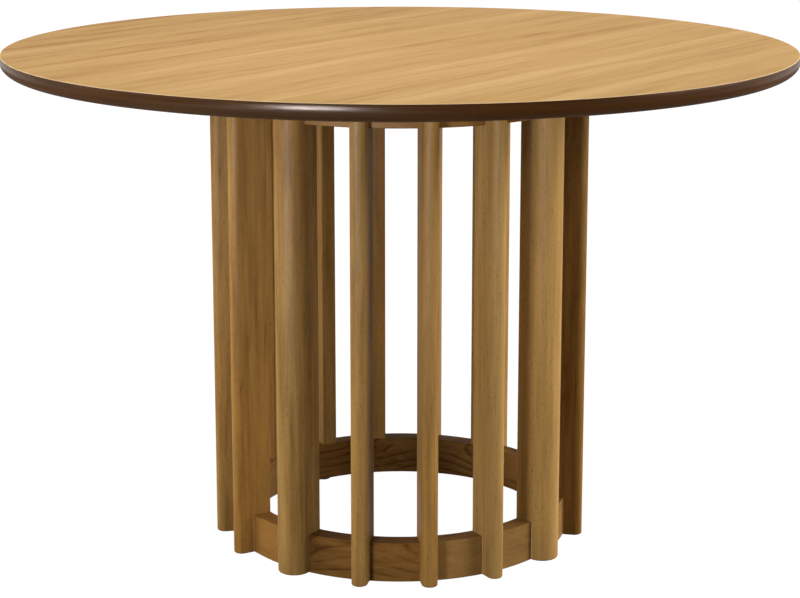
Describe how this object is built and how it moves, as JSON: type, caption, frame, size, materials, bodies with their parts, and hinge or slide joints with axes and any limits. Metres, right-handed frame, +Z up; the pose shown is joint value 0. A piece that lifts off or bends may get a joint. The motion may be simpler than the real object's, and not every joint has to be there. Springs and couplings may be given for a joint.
{
  "type": "round dining table",
  "caption": "Round veneered dining table with a dark shaped rim, on an open drum of half-round uprights rebated over two rings.",
  "frame": {"origin": "on the floor, under the centre of the tabletop", "axes": "+Z up along the drum's axis; the four posts stand on the X and Y axes, and the veneer's grain runs along X"},
  "size_m": [1.2, 1.2, 0.762],
  "materials": {
    "oak_veneer": "satin clear lacquer on oak veneer",
    "core_board": "raw fibreboard, not seen",
    "backing_veneer": "sealed backing veneer",
    "dark_stained_lipping": "dark brown stain under satin lacquer",
    "stained_ring_wood": "mid-brown stain under satin lacquer",
    "stained_upright_wood": "mid-brown stain under satin lacquer",
    "zinc_steel": "bright zinc plated",
    "black_steel": "black oxide",
    "glide_plastic": "moulded nylon"
  },
  "bodies": {
    "root": {"top_veneer": "oak_veneer", "core_board": "core_board", "backing_veneer": "backing_veneer", "lipping_1": "dark_stained_lipping", "lipping_2": "dark_stained_lipping", "lipping_3": "dark_stained_lipping", "lipping_4": "dark_stained_lipping", "lipping_5": "dark_stained_lipping", "lipping_6": "dark_stained_lipping", "lipping_7": "dark_stained_lipping", "lipping_8": "dark_stained_lipping", "upper_ring_1": "stained_ring_wood", "upper_ring_2": "stained_ring_wood", "upper_ring_3": "stained_ring_wood", "upper_ring_4": "stained_ring_wood", "upper_ring_5": "stained_ring_wood", "upper_ring_6": "stained_ring_wood", "upper_ring_7": "stained_ring_wood", "upper_ring_8": "stained_ring_wood", "lower_ring_1": "stained_ring_wood", "lower_ring_2": "stained_ring_wood", "lower_ring_3": "stained_ring_wood", "lower_ring_4": "stained_ring_wood", "lower_ring_5": "stained_ring_wood", "lower_ring_6": "stained_ring_wood", "lower_ring_7": "stained_ring_wood", "lower_ring_8": "stained_ring_wood", "slat_1": "stained_upright_wood", "slat_2": "stained_upright_wood", "slat_3": "stained_upright_wood", "slat_4": "stained_upright_wood", "slat_5": "stained_upright_wood", "slat_6": "stained_upright_wood", "slat_7": "stained_upright_wood", "slat_8": "stained_upright_wood", "slat_9": "stained_upright_wood", "slat_10": "stained_upright_wood", "slat_11": "stained_upright_wood", "slat_12": "stained_upright_wood", "post_1": "stained_upright_wood", "post_2": "stained_upright_wood", "post_3": "stained_upright_wood", "post_4": "stained_upright_wood", "ring_screws": "zinc_steel", "bolt_washers": "zinc_steel", "threaded_inserts": "zinc_steel", "top_bolts": "black_steel", "floor_glides": "glide_plastic"}
  },
  "joints": []
}
